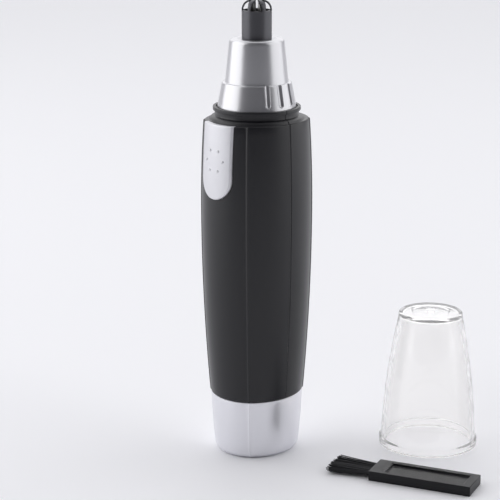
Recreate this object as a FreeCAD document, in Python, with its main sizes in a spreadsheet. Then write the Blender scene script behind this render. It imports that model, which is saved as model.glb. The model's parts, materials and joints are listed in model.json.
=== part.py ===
import FreeCAD, Part
import math
import os
from types import SimpleNamespace
import Sketcher
from FreeCAD import Placement, Rotation, Vector

# Battery nose hair trimmer, standing on its battery cap, with its clear
# protective cap and its cleaning brush beside it.
# Frame: +Z up along the body, origin at the centre of the base.
# The switch faces -Y, and the two casing halves part along the plane Y = 0.
# Everything is in millimetres.

DRIVING_SIZES = [
    # The barrel: four arcs per section, and a half-width for each height.
    ("side_ratio", 0.935, "half-width across the seams / half-width at a ridge"),
    ("face_ratio", 1.03, "half-depth through the switch / half-width at a ridge"),
    ("ridge_across", 0.622, "ridge's distance from the switch plane / half-width"),
    ("ridge_deep", 0.796, "ridge's distance from the seam plane / half-width"),
    ("casing_low", 16.8, "height of the joint between battery cap and casing"),
    ("casing_lower", 36.0, "height of the second casing section"),
    ("casing_middle", 55.5, "height of the third casing section"),
    ("casing_upper", 75.0, "height of the fourth section, near the widest place"),
    ("casing_high", 94.0, "height of the ledge under the neck"),
    ("half_low", 12.7, "half-width at casing_low"),
    ("half_lower", 13.99, "half-width at casing_lower"),
    ("half_middle", 14.72, "half-width at casing_middle"),
    ("half_upper", 14.85, "half-width at casing_upper"),
    ("half_high", 14.08, "half-width at casing_high"),
    ("casing_wall", 1.5, "casing wall"),
    ("ledge_thick", 1.6, "thickness of the ledge"),
    ("shoulder_radius", 12.9, "foot of the low shoulder on the ledge"),
    ("shoulder_high", 95.1, "top of the low shoulder, at the neck"),
    # The neck that carries the head and seats the clear cap.
    ("neck_radius", 11.4, "neck under its lip"),
    ("bead_radius", 11.9, "lip at the top of the neck"),
    ("bead_low", 96.4, "underside of the lip"),
    ("neck_high", 97.45, "top of the lip"),
    ("seat_radius", 11.05, "recess inside the lip, where the head sits"),
    ("seat_floor", 96.85, "floor of the recess inside the lip"),
    ("neck_bore", 9.1, "bore of the neck"),
    ("lip_low", 95.0, "underside of the shelf that holds the head's lugs"),
    ("lug_track", 9.65, "radius of the track under the shelf"),
    # The battery cap.
    ("cap_half_foot", 11.2, "half-width at the foot"),
    ("cap_half_mid", 12.0, "half-width half-way up"),
    ("cap_half_top", 12.4, "half-width at the joint"),
    ("cap_wall", 0.95, "wall of the battery cap"),
    ("cap_round", 1.2, "rounding of the foot's edge"),
    ("cap_gap", 0.12, "gap between battery cap and casing"),
    ("insert_radius", 9.9, "outside of the cap's insert"),
    ("insert_bore", 9.3, "inside of the cap's insert"),
    ("insert_high", 21.5, "top of the cap's insert"),
    # The switch.
    ("tongue_half", 5.6, "half-width of the switch tongue"),
    ("tongue_low", 73.7, "lowest point of the switch tongue"),
    ("tongue_proud", 0.5, "how far the tongue stands proud of the casing"),
    ("tongue_deep", 0.75, "how far the tongue reaches into its recess"),
    ("recess_play", 0.12, "play between tongue and recess"),
    ("bump_height", 84.3, "centre of the ring of grip bumps"),
    ("bump_ring", 3.1, "radius of the ring of grip bumps"),
    ("bump_radius", 0.5, "radius of one bump"),
    ("switch_travel", 3.0, "travel of the switch"),
    # The battery, AA size, and its tube in the chassis.
    ("cell_radius", 7.25, "battery over its label"),
    ("cell_low", 8.2, "negative end"),
    ("cell_high", 57.6, "shoulder of the positive end"),
    ("button_high", 58.5, "top of the positive button"),
    ("tube_radius", 8.8, "outside of the battery tube"),
    ("tube_bore", 7.55, "bore of the battery tube"),
    ("bulkhead_low", 59.0, "underside of the chassis bulkhead"),
    ("bulkhead_high", 60.2, "top of the chassis bulkhead"),
    ("cradle_high", 86.0, "top of the motor cradle"),
    # The motor.
    ("motor_radius", 10.0, "motor across its rounded sides, halved"),
    ("motor_flat", 7.5, "motor across its flats, halved"),
    ("motor_low", 61.5, "underside of the motor"),
    ("can_low", 63.0, "lower edge of the steel can"),
    ("can_high", 87.0, "top of the steel can"),
    ("boss_high", 88.6, "top of the bearing boss"),
    ("can_wall", 0.6, "sheet of the steel can"),
    ("shaft_radius", 1.0, "motor shaft"),
    ("shaft_play", 0.03, "running play of the shaft in its bushings"),
    # The head.
    ("head_gap", 0.15, "gap between the head's foot and its seat"),
    ("ring_foot", 10.75, "grip ring at its foot"),
    ("ring_top", 9.4, "grip ring at its top edge"),
    ("ring_high", 104.0, "height of the grip ring's top edge"),
    ("cone_foot", 8.55, "cone at its foot"),
    ("cone_top", 7.35, "cone under its shoulder"),
    ("shoulder", 1.3, "rounding of the shoulder"),
    ("head_high", 115.7, "flat top of the head"),
    ("head_wall", 1.1, "wall of the head"),
    ("groove_radius", 1.0, "radius of a grip groove"),
    ("groove_out", 0.42, "distance of a groove's centre line outside the ring"),
    ("groove_pitch", 22.0, "angle between grip grooves, degrees"),
    ("groove_turn", -3.0, "turn of the middle grip groove from the seam, degrees"),
    # The cutter.
    ("cutter_radius", 4.05, "outside of the cutter tube"),
    ("cutter_wall", 0.45, "wall of the cutter tube"),
    ("cutter_low", 111.3, "underside of the tube's flange"),
    ("dome_low", 123.3, "height where the dome starts"),
    ("dome_round", 2.7, "radius of the dome's rounding"),
    ("slot_low", 123.2, "floor of the dome's slots"),
    ("bar_width", 0.95, "width of a bar between two slots"),
    ("dome_hole", 1.4, "opening at the centre of the dome"),
    # The clear cap, standing on its mouth.
    ("clear_across", 30.7, "clear cap's axis, X"),
    ("clear_back", 37.9, "clear cap's axis, Y"),
    ("clear_high", 38.7, "height of the clear cap"),
    ("clear_rim", 13.85, "outside of the mouth's band"),
    ("clear_wall", 1.15, "wall of the clear cap"),
    ("clear_top", 9.0, "outside under the top's rounding"),
    ("clear_bend", 190.0, "radius of the wall's slight outward bow"),
    # The cleaning brush, lying on its back.
    ("brush_across", 51.35, "middle of the brush handle, X"),
    ("brush_back", 14.2, "middle of the brush handle, Y"),
    ("brush_turn", 24.1, "turn of the brush about Z, degrees"),
    ("brush_long", 28.5, "length of the handle"),
    ("brush_wide", 9.8, "width of the handle"),
    ("brush_thick", 2.7, "thickness of the handle"),
    ("bristle_long", 12.5, "free length of the bristles"),
    ("bristle_root", 6.6, "width of the tuft at the handle"),
    ("bristle_tip", 10.0, "width of the tuft at its tips"),
]

# Turn of the head, in degrees, from locked to where its lugs meet their entries.
HEAD_TWIST = 25

doc = FreeCAD.newDocument("nose_hair_trimmer")


# ---------------------------------------------------------------- sizes

def text_of(number):
    return number.text if isinstance(number, Dim) else repr(float(number))


def value_of(number):
    return number.value if isinstance(number, Dim) else float(number)


class Dim:
    """A size that knows its value and the sheet formula that gives it."""

    def __init__(self, value, text):
        self.value = value
        self.text = text

    def __add__(self, other):
        return Dim(self.value + value_of(other), f"({self.text} + {text_of(other)})")

    def __sub__(self, other):
        return Dim(self.value - value_of(other), f"({self.text} - {text_of(other)})")

    def __mul__(self, other):
        return Dim(self.value * value_of(other), f"({self.text} * {text_of(other)})")

    def __truediv__(self, other):
        return Dim(self.value / value_of(other), f"({self.text} / {text_of(other)})")

    def __neg__(self):
        return Dim(-self.value, f"(-1 * {self.text})")


def write_sheet():
    sheet = doc.addObject("Spreadsheet::Sheet", "Sizes")
    dims = {}
    for row, (alias, number, meaning) in enumerate(DRIVING_SIZES, start=1):
        sheet.set(f"A{row}", alias)
        sheet.set(f"B{row}", str(number))
        sheet.set(f"C{row}", meaning)
        sheet.setAlias(f"B{row}", alias)
        dims[alias] = Dim(number, f"Sizes.{alias}")
    doc.recompute()
    return SimpleNamespace(**dims)


S = write_sheet()


def bind(thing, path, number):
    """Ties a property to the sheet, or sets it where the number is plain."""
    thing.setExpression(path, text_of(number))


# ------------------------------------------------------------- sketches

def new_body(label):
    body = doc.addObject("PartDesign::Body", "Body_" + label)
    body.Label = label
    return body


def origin_plane(body, role):
    return next(item for item in body.Origin.OriginFeatures if item.Role == role)


def new_sketch(body, name, plane="XZ_Plane", offset=0, turn=0):
    """An empty sketch on one of the body's own planes.

    offset moves it along the plane's normal, and turn rotates it about +Z."""
    sketch = body.newObject("Sketcher::SketchObject", name)
    sketch.AttachmentSupport = (origin_plane(body, plane), [""])
    sketch.MapMode = "FlatFace"
    axis = Vector(0, 1, 0) if plane != "XY_Plane" else Vector(0, 0, 1)
    sketch.AttachmentOffset = Placement(Vector(0, 0, value_of(offset)), Rotation(axis, turn))
    if isinstance(offset, Dim):
        bind(sketch, ".AttachmentOffset.Base.z", offset)
    return sketch


def fix_point(sketch, geometry, end, spot):
    """Ties one end of a line or arc to its two coordinates."""
    for kind, number in zip(("DistanceX", "DistanceY"), spot):
        index = sketch.addConstraint(Sketcher.Constraint(kind, geometry, end, value_of(number)))
        if isinstance(number, Dim):
            bind(sketch, f"Constraints[{index}]", number)


def arc_between(start, end, radius, left):
    """The short arc from start to end, whose middle lies left or right of the chord."""
    chord = end - start
    rise = radius - math.sqrt(radius ** 2 - (chord.Length / 2) ** 2)
    side = Vector(-chord.y, chord.x, 0).normalize() * (rise if left else -rise)
    return Part.Arc(start, (start + end) * 0.5 + side, end)


def draw_outline(sketch, corners):
    """A closed outline. A corner is (x, y), or (x, y, radius, "left" or "right")
    where an arc that bows that way leads to it from the corner before."""
    spots = [Vector(value_of(corner[0]), value_of(corner[1]), 0) for corner in corners]
    first = sketch.GeometryCount
    radii = []
    for index in range(len(corners)):
        following = (index + 1) % len(corners)
        start, end = spots[index], spots[following]
        if len(corners[following]) == 2:
            sketch.addGeometry(Part.LineSegment(start, end), False)
            continue
        radius, way = corners[following][2:]
        arc = arc_between(start, end, value_of(radius), way == "left")
        sketch.addGeometry(arc, False)
        radii.append((first + index, radius))
    for index, corner in enumerate(corners):
        geometry = first + index
        previous = first + (index - 1) % len(corners)
        start_end, finish_end = ends_of(sketch, geometry, spots[index])
        fix_point(sketch, geometry, start_end, corner[:2])
        other_end, _ = ends_of(sketch, previous, spots[index])
        sketch.addConstraint(Sketcher.Constraint("Coincident", previous, other_end,
                                                 geometry, start_end))
    for geometry, radius in radii:
        index = sketch.addConstraint(Sketcher.Constraint("Radius", geometry, value_of(radius)))
        if isinstance(radius, Dim):
            bind(sketch, f"Constraints[{index}]", radius)


def ends_of(sketch, geometry, spot):
    """The end (1 or 2) of a line or arc that lies at a spot, and the other end."""
    near = (sketch.getPoint(geometry, 1) - spot).Length
    far = (sketch.getPoint(geometry, 2) - spot).Length
    return (1, 2) if near < far else (2, 1)


# ------------------------------------------------- features and solids

def volume(thing):
    doc.recompute()
    return thing.Shape.Volume


def revolve(label, corners):
    """A turned piece: its outline in the XZ plane, once round +Z."""
    body = new_body(label)
    add_turned(body, label, corners)
    return body


def add_turned(body, name, corners, kind="Revolution"):
    sketch = new_sketch(body, name + "_profile")
    draw_outline(sketch, corners)
    feature = body.newObject("PartDesign::" + kind, name + "_turned")
    feature.Profile = sketch
    feature.ReferenceAxis = (sketch, ["V_Axis"])
    feature.Angle = 360
    doc.recompute()
    return feature


def pad(body, name, corners, length, plane="XY_Plane", offset=0, turn=0, midplane=False):
    sketch = new_sketch(body, name + "_outline", plane, offset, turn)
    draw_outline(sketch, corners)
    feature = body.newObject("PartDesign::Pad", name)
    feature.Profile = sketch
    feature.Midplane = midplane
    bind(feature, "Length", length)
    doc.recompute()
    return feature


def pocket(body, name, corners, length, plane="XY_Plane", offset=0, turn=0, midplane=False):
    """Cuts against the sketch's normal, and checks that something was cut."""
    before = volume(body)
    sketch = new_sketch(body, name + "_outline", plane, offset, turn)
    draw_outline(sketch, corners)
    feature = body.newObject("PartDesign::Pocket", name)
    feature.Profile = sketch
    feature.Midplane = midplane
    bind(feature, "Length", length)
    assert volume(body) < before, name + " cuts nothing"
    return feature


def round_edges(body, name, radius, chosen):
    """Fillets the edges of the body's tip for which chosen(edge) holds."""
    doc.recompute()
    tip = body.Tip
    edges = [f"Edge{i}" for i, edge in enumerate(tip.Shape.Edges, start=1) if chosen(edge)]
    feature = body.newObject("PartDesign::Fillet", name)
    feature.Base = (tip, edges)
    bind(feature, "Radius", radius)
    doc.recompute()
    return feature


def rectangle(left, right, low, high):
    return [(left, low), (right, low), (right, high), (left, high)]


def block(name, left, right, front, back, low, high):
    """A box between six planes."""
    box = doc.addObject("Part::Box", name)
    box.Label = name
    bind(box, "Length", right - left if isinstance(right, Dim) else Dim(0, "0") + right - left)
    bind(box, "Width", back - front if isinstance(back, Dim) else Dim(0, "0") + back - front)
    bind(box, "Height", high - low if isinstance(high, Dim) else Dim(0, "0") + high - low)
    for path, number in (("x", left), ("y", front), ("z", low)):
        bind(box, ".Placement.Base." + path, number)
    return box


def drum(name, radius, low, high, across=0, back=0):
    """An upright cylinder."""
    cylinder = doc.addObject("Part::Cylinder", name)
    cylinder.Label = name
    bind(cylinder, "Radius", radius)
    bind(cylinder, "Height", Dim(0, "0") + high - low)
    for path, number in (("x", across), ("y", back), ("z", low)):
        bind(cylinder, ".Placement.Base." + path, number)
    return cylinder


def ring(name, radius, bore, low, high):
    """A tube: a drum with a bore right through it."""
    return cut(name, drum(name + "_outside", radius, low, high),
               drum(name + "_bore", bore, Dim(0, "0") + low - 1, Dim(0, "0") + high + 1))


def combine(kind, name, pieces):
    joined = doc.addObject("Part::" + kind, "Join_" + name)
    joined.Label = name
    joined.Shapes = pieces
    doc.recompute()
    return joined


def fuse(name, *pieces):
    return combine("MultiFuse", name, list(pieces))


def common(name, *pieces):
    return combine("MultiCommon", name, list(pieces))


def cut(name, base, *tools):
    tool = tools[0] if len(tools) == 1 else fuse(name + "_cutters", *tools)
    result = doc.addObject("Part::Cut", "Cut_" + name)
    result.Label = name
    result.Base = base
    result.Tool = tool
    doc.recompute()
    return result


def around(piece, name, turns, start=0):
    """Copies of a piece, evenly spaced about +Z."""
    copies = []
    for index in range(turns):
        copy = doc.addObject("Part::Feature", f"{name}_{index}")
        copy.Shape = piece.Shape.copy()
        angle = start + index * 360 / turns
        copy.Placement = Placement(Vector(), Rotation(Vector(0, 0, 1), angle)) * piece.Placement
        copies.append(copy)
    return copies


def coil(label, radius, wire, pitch, low, high, taper=0):
    """A wire spring about +Z, with its turns from low to high."""
    helix = doc.addObject("Part::Helix", label + "_path")
    bind(helix, "Radius", radius)
    helix.Pitch = pitch
    bind(helix, "Height", Dim(0, "0") + high - low)
    helix.Angle = taper
    bind(helix, ".Placement.Base.z", low)
    section = doc.addObject("Part::Circle", label + "_wire")
    bind(section, "Radius", wire)
    section.Placement = Placement(Vector(value_of(radius), 0, value_of(low)),
                                  Rotation(Vector(1, 0, 0), 90))
    bind(section, ".Placement.Base.x", radius)
    bind(section, ".Placement.Base.z", low)
    spring = doc.addObject("Part::Sweep", label + "_sweep")
    spring.Label = label
    spring.Sections = [section]
    spring.Spine = (helix, [])
    spring.Solid = True
    spring.Frenet = True
    doc.recompute()
    return spring


# ---------------------------------------------------- the barrel's shape

def section_sketch(body, name, half, height):
    """One barrel section: side, back, side and front arcs between four ridges."""
    across, deep = half * S.ridge_across, half * S.ridge_deep
    side_rise = S.side_ratio - S.ridge_across
    face_rise = S.face_ratio - S.ridge_deep
    side_bend = half * ((S.ridge_deep * S.ridge_deep + side_rise * side_rise)
                        / (side_rise * 2))
    face_bend = half * ((S.ridge_across * S.ridge_across + face_rise * face_rise)
                        / (face_rise * 2))
    sketch = new_sketch(body, name, "XY_Plane", height)
    draw_outline(sketch, [
        (across, -deep, face_bend, "right"),
        (across, deep, side_bend, "right"),
        (-across, deep, face_bend, "right"),
        (-across, -deep, side_bend, "right"),
    ])
    return sketch


def barrel(body, name, stations, kind="AdditiveLoft"):
    """A smooth skin through the sections at the given (height, half-width) stations."""
    sketches = [section_sketch(body, f"{name}_section_{index}", half, height)
                for index, (height, half) in enumerate(stations)]
    loft = body.newObject("PartDesign::" + kind, name)
    loft.Profile = sketches[0]
    loft.Sections = sketches[1:]
    doc.recompute()
    return loft


def casing_stations(growth, low=S.casing_low, high=S.casing_high):
    return [
        (low, S.half_low + growth),
        (S.casing_lower, S.half_lower + growth),
        (S.casing_middle, S.half_middle + growth),
        (S.casing_upper, S.half_upper + growth),
        (high, S.half_high + growth),
    ]


def barrel_core(label, growth):
    """The casing's outer shape grown or shrunk all round, as a solid."""
    body = new_body(label)
    barrel(body, label + "_loft", casing_stations(growth))
    return body


# --------------------------------------------------------------- casing

def casing_half(label, front):
    """Half of the casing: a shell with the ledge, the neck and its lip on top."""
    body = new_body(label)
    barrel(body, label + "_skin", casing_stations(0))
    rise = S.shoulder_high - S.casing_high
    add_turned(body, label + "_neck", [
        (0, S.casing_high - 0.5),
        (S.shoulder_radius, S.casing_high - 0.5),
        (S.shoulder_radius, S.casing_high),
        (S.shoulder_radius - 0.4, S.casing_high + rise * 0.5),
        (S.shoulder_radius - 1.0, S.casing_high + rise * 0.86),
        (S.neck_radius, S.shoulder_high),
        (S.neck_radius, S.bead_low),
        (S.bead_radius - 0.1, S.bead_low),
        (S.bead_radius, S.bead_low + 0.1),
        (S.bead_radius, S.neck_high - 0.15),
        (S.bead_radius - 0.15, S.neck_high),
        (S.seat_radius, S.neck_high),
        (S.seat_radius, S.seat_floor),
        (0, S.seat_floor),
    ])
    inner_top = S.casing_high - S.ledge_thick
    barrel(body, label + "_hollow", casing_stations(-S.casing_wall, high=inner_top),
           "SubtractiveLoft")
    add_turned(body, label + "_track", [
        (0, inner_top - 1),
        (S.lug_track, inner_top - 1),
        (S.lug_track, S.lip_low),
        (S.neck_bore, S.lip_low),
        (S.neck_bore, S.neck_high + 1),
        (0, S.neck_high + 1),
    ], "Groove")
    side = 1 if front else -1
    far = side * 40
    pocket(body, label + "_parting", rectangle(-40, 40, min(0, far), max(0, far)),
           200, offset=150)
    catch = common(label + "_catch",
                   ring(label + "_catch_ring", S.insert_radius + 2.2, S.insert_radius + 0.25,
                        S.casing_low + 0.8, S.casing_low + 2.4),
                   block(label + "_catch_span", -2.2, 2.2, -15 if front else 5,
                         -5 if front else 15, 10, 30))
    return fuse(label + "_with_catch", body, catch)


def tongue_outline(play, top):
    """The switch tongue seen from the front: straight sides and a round foot."""
    half = S.tongue_half + play
    foot = S.tongue_low - play
    return [
        (-half, foot + half * 0.95),
        (0, foot, half * 1.01, "right"),
        (half, foot + half * 0.95, half * 1.01, "right"),
        (half, top),
        (-half, top),
    ]


def tongue_prism(label, play, top):
    """The tongue's outline run forward out of the casing."""
    body = new_body(label)
    pad(body, label + "_pad", tongue_outline(play, top), 25, plane="XZ_Plane")
    return body


def build_casings():
    recess = cut("switch_recess", tongue_prism("recess_prism", S.recess_play, S.casing_high),
                 barrel_core("recess_floor", -(S.tongue_deep + 0.1)))
    slot = block("stem_slot", -1.9, 1.9, -16, -11, 79.7, S.switch_travel + 86.3)
    entry = block("lug_entry", -1.4, 1.4, -S.lug_track, S.lug_track, S.lip_low - 0.1, 98)
    doc.recompute()
    entries = around(entry, "lug_entry_turned", 1, start=HEAD_TWIST)
    front = cut("front_casing", casing_half("front_half", True), recess, slot, *entries)
    rear = cut("rear_casing", casing_half("rear_half", False), *entries)
    return [front, rear]


# --------------------------------------------------------------- switch

def build_switch():
    shell = common("tongue_shell", tongue_prism("tongue_prism", 0, S.casing_high + 6),
                   barrel_core("tongue_outside", S.tongue_proud))
    hollow = cut("tongue_skin", shell, barrel_core("tongue_inside", -S.tongue_deep))
    stem = block("switch_stem", -1.6, 1.6, -14.75, -12.2, 80, 86)
    bumps = []
    for index in range(6):
        angle = math.radians(30 + 60 * index)
        bumps.append(grip_bump(f"bump_{index}", angle))
    button = fuse("switch_button", hollow, stem, *bumps)
    carrier = cut("switch_carrier",
                  block("carrier_block", -4, 4, -12.2, -10.6, 78, 87),
                  block("carrier_waist", -1.7, 1.7, -10.9, -10, 77, 88))
    leaf = fuse("switch_contact",
                block("leaf_plate", -1.6, 1.6, -10.9, -10.6, 78.2, 86.5),
                block("leaf_low_hump", -1.2, 1.2, -10.6, -9.2, 78.2, 79.6),
                block("leaf_high_hump", -1.2, 1.2, -10.6, -9.2, 80.7, 82))
    return [button, carrier, leaf]


def grip_bump(name, angle):
    """A bump half sunk in the tongue's face."""
    ball = doc.addObject("Part::Sphere", name)
    bind(ball, "Radius", S.bump_radius)
    across = S.bump_ring * math.sin(angle)
    height = S.bump_height + S.bump_ring * math.cos(angle)
    bind(ball, ".Placement.Base.x", across)
    bind(ball, ".Placement.Base.z", height)
    half = (S.half_upper + S.tongue_proud).value
    face_rise = (S.face_ratio - S.ridge_deep).value
    bend = half * (S.ridge_across.value ** 2 + face_rise ** 2) / (2 * face_rise)
    depth = math.sqrt(bend ** 2 - across.value ** 2) + S.face_ratio.value * half - bend
    ball.Placement.Base.y = -(depth - 0.1)
    return ball


# ---------------------------------------------------------- battery end

def rounding_station(angle):
    """A station on the foot's quarter-round: angle 0 is the flat base, 90 the wall."""
    inward = 1 - math.sin(math.radians(angle))
    upward = 1 - math.cos(math.radians(angle))
    return (S.cap_round * upward, S.cap_half_foot - S.cap_round * inward)


def build_battery_cap():
    body = new_body("battery_cap")
    top = S.casing_low - S.cap_gap
    barrel(body, "cap_foot", [rounding_station(angle) for angle in (0, 30, 60, 90)])
    barrel(body, "cap_skin", [
        (S.cap_round, S.cap_half_foot),
        (S.casing_low / 2, S.cap_half_mid),
        (top, S.cap_half_top),
    ])
    barrel(body, "cap_hollow", [
        (S.cap_wall + 0.3, S.cap_half_foot - S.cap_wall),
        (S.casing_low / 2, S.cap_half_mid - S.cap_wall),
        (top + 0.01, S.cap_half_top - S.cap_wall),
    ], "SubtractiveLoft")

    floor = S.cap_wall + 0.3
    insert_tube = revolve("insert_tube", [
        (0, floor),
        (S.insert_radius - 1.1, floor),
        (S.insert_radius, floor + 4.2),
        (S.insert_radius, S.insert_high - 0.4),
        (S.insert_radius - 0.4, S.insert_high),
        (S.insert_bore, S.insert_high),
        (S.insert_bore, floor + 4),
        (S.insert_bore - 1.2, floor + 1.2),
        (0, floor + 1.2),
    ])
    lugs = common("insert_lug_pair",
                  ring("insert_lug_ring", S.insert_radius + 0.95, S.insert_bore + 0.2,
                       S.casing_low + 2.6, S.casing_low + 4),
                  block("insert_lug_span", -1.9, 1.9, -15, 15, 10, 30))
    insert = fuse("cap_insert", insert_tube, lugs)
    spring = coil("battery_spring", 5.4, 0.35, 1.35, 3.2, 7.75, taper=-25)
    plate = revolve("spring_plate", [
        (0, floor + 1.2),
        (8.0, floor + 1.2),
        (S.insert_bore - 0.05, floor + 4.2),
        (S.insert_bore - 0.05, S.insert_high + 0.4),
        (S.insert_bore - 0.3, S.insert_high + 0.4),
        (S.insert_bore - 0.3, floor + 4.3),
        (7.9, floor + 1.5),
        (0, floor + 1.5),
    ])
    return [body, insert, spring, plate]


def build_cell():
    cell = revolve("battery_cell", [
        (0, S.cell_low),
        (5.6, S.cell_low),
        (6.2, S.cell_low + 0.3),
        (S.cell_radius - 0.2, S.cell_low + 0.3),
        (S.cell_radius - 0.2, S.cell_high - 0.3),
        (S.cell_radius - 1.2, S.cell_high),
        (2.75, S.cell_high),
        (2.75, S.button_high - 0.2),
        (2.55, S.button_high),
        (0, S.button_high),
    ])
    label = revolve("battery_label", [
        (S.cell_radius - 0.2, S.cell_low + 0.3),
        (S.cell_radius, S.cell_low + 0.3),
        (S.cell_radius, S.cell_high - 0.3),
        (S.cell_radius - 0.2, S.cell_high - 0.3),
    ])
    return [cell, label]


# -------------------------------------------------------------- chassis

def build_chassis():
    tube = ring("chassis_tube", S.tube_radius, S.tube_bore, S.casing_low + 1, S.bulkhead_low)
    bulkhead = drum("chassis_bulkhead", 12.2, S.bulkhead_low, S.bulkhead_high)
    cradle = common("chassis_cradle",
                    ring("cradle_ring", 11.5, S.motor_radius + 0.1,
                         S.bulkhead_high - 0.2, S.cradle_high),
                    block("cradle_span", -15, 15, -8.6, 8.6, 55, 90))
    collar = common("chassis_collar",
                    ring("collar_ring", 12.0, S.motor_radius + 0.1,
                         S.cradle_high - 1.5, S.cradle_high),
                    block("collar_span", -15, 15, -8.6, 8.6, 55, 90))
    front_plate = block("chassis_front_plate", -7, 7, -8.8, -7.9, 66, S.cradle_high + 2)
    whole = fuse("chassis_whole", tube, bulkhead, cradle, collar, front_plate)
    chassis = cut("chassis", whole,
                  block("strip_notch", -1.5, 1.5, -14, -8.7, 50, 61),
                  block("riser_slot", -4.6, -3.4, -1.9, 1.9, 58.8, 62),
                  block("return_slot", 3.2, 5.6, -13, -1, 60, 60.3),
                  block("tube_window", -4.5, 4.5, 3, 12, 24, 52))
    negative = block("negative_strip", -1.2, 1.2, -9.15, -8.85, 22, 82.2)
    positive = fuse("positive_contact",
                    block("positive_plate", -4.1, 3, -1.5, 1.5, S.button_high + 0.05, 58.9),
                    block("positive_riser", -4.1, -3.85, -1.5, 1.5, 58.6, 61.3))
    return_strip = fuse("motor_strip",
                        block("return_head", -1.2, 5, -9.15, -8.85, 83.3, 85.2),
                        block("return_drop", 3.9, 5, -9.15, -8.85, 60.7, 85.2),
                        block("return_foot", 3.85, 5, -9.15, 1.2, 60.5, 60.8))
    return [chassis, negative, positive, return_strip]


# ---------------------------------------------------------------- motor

def flat_sided(name, radius, flat, low, high):
    """A drum with two flats, the outline of a small can motor."""
    return common(name, drum(name + "_round", radius, low, high),
                  block(name + "_flats", -20, 20, -flat, flat, low, high))


def build_motor():
    wall = S.can_wall
    shell = fuse("can_shell",
                 flat_sided("can_outside", S.motor_radius, S.motor_flat, S.can_low, S.can_high),
                 drum("can_boss", 3.2, S.can_high - 0.1, S.boss_high))
    can = cut("motor_can", shell,
              flat_sided("can_inside", S.motor_radius - wall, S.motor_flat - wall,
                         S.can_low - 1, S.can_high - wall),
              drum("can_bore", 2.2, S.can_high - 2, S.boss_high + 1))
    bell_solid = fuse("bell_solid",
                      flat_sided("bell_flange", S.motor_radius, S.motor_flat,
                                 S.motor_low, S.can_low),
                      flat_sided("bell_plug", S.motor_radius - wall - 0.02,
                                 S.motor_flat - wall - 0.02, S.can_low - 0.1, S.can_low + 3))
    bell_shell = cut("bell_shell", bell_solid,
                     drum("bell_bearing_bore", 1.9, S.motor_low - 1, S.can_low + 4),
               drum("bell_cavity", 5.2, S.can_low + 1.2, S.can_low + 4),
               block("terminal_slots", -3.8, 3.8, -1.2, 1.2, S.motor_low - 1, S.can_low + 4))
    core = block("bell_core_block", -3.45, 3.45, -1.2, 1.2, S.motor_low, S.can_low + 1.2)
    core_bored = cut("bell_core", core,
                     drum("core_bore", 1.9, S.motor_low - 1, S.can_low + 4))
    bell = fuse("motor_end_bell", bell_shell, core_bored)
    play = S.shaft_radius + S.shaft_play
    bushings = fuse("motor_bushings",
                    ring("rear_bushing", 1.9, play, S.motor_low + 0.2, S.can_low + 1),
                    ring("front_bushing", 2.2, play, S.can_high - 0.5, S.boss_high - 0.1))
    magnets = common("motor_magnets",
                     ring("magnet_ring", S.motor_radius - wall, 6.6, 67, 84),
                     block("magnet_span", -12, 12, -6.2, 6.2, 60, 90))
    terminals = fuse("motor_terminals",
                     block("terminal_left", -3.8, -3.5, -1.15, 1.15, 60.85, S.can_low + 2.2),
                     block("terminal_right", 3.5, 3.8, -1.15, 1.15, 60.85, S.can_low + 2.2))
    brushes = fuse("motor_brushes",
                   block("brush_left", -3.8, -2.35, -0.6, 0.6, S.can_low + 2.2, 66.4),
                   block("brush_right", 2.35, 3.8, -0.6, 0.6, S.can_low + 2.2, 66.4))
    return [can, bell, bushings, magnets, terminals, brushes]


def build_rotor():
    shaft = drum("motor_shaft", S.shaft_radius, S.motor_low + 0.3, 95)
    slot_drums = [drum(f"core_slot_{index}", 1.75, 60, 90,
                       3.9 * math.cos(math.radians(120 * index)),
                       3.9 * math.sin(math.radians(120 * index))) for index in range(3)]
    mouth = block("slot_mouth", 4, 8, -0.45, 0.45, 60, 90)
    core = cut("armature_core", ring("core_ring", 6.15, S.shaft_radius, 69, 81),
               *slot_drums, *around(mouth, "core_mouth", 3))
    coils = [drum(f"slot_winding_{index}", 1.65, 68.5, 81.5,
                  3.9 * math.cos(math.radians(120 * index)),
                  3.9 * math.sin(math.radians(120 * index))) for index in range(3)]
    windings = fuse("armature_windings", *coils,
                    ring("winding_low", 5.5, 2.4, 67.6, 69),
                    ring("winding_high", 5.5, 2.4, 81, 82.4))
    gap = block("bar_gap", 0.5, 4, -0.15, 0.15, 64, 67)
    commutator = cut("motor_commutator", ring("commutator_ring", 2.2, 1.0, 64.4, 67.5),
                     *around(gap, "commutator_gap", 3, start=60))
    hub = revolve("coupling_hub", [
        (S.shaft_radius, 89), (2.4, 89), (2.4, 90), (3.2, 90.3), (3.2, 99.3), (2.9, 99.6),
        (0, 99.6), (0, 95), (S.shaft_radius, 95)])
    coupling = cut("drive_coupling", hub,
                   block("coupling_slot", -2.3, 2.3, -0.65, 0.65, 95.6, 100))
    return [shaft, core, windings, commutator, coupling]


# ----------------------------------------------------------------- head

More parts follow.
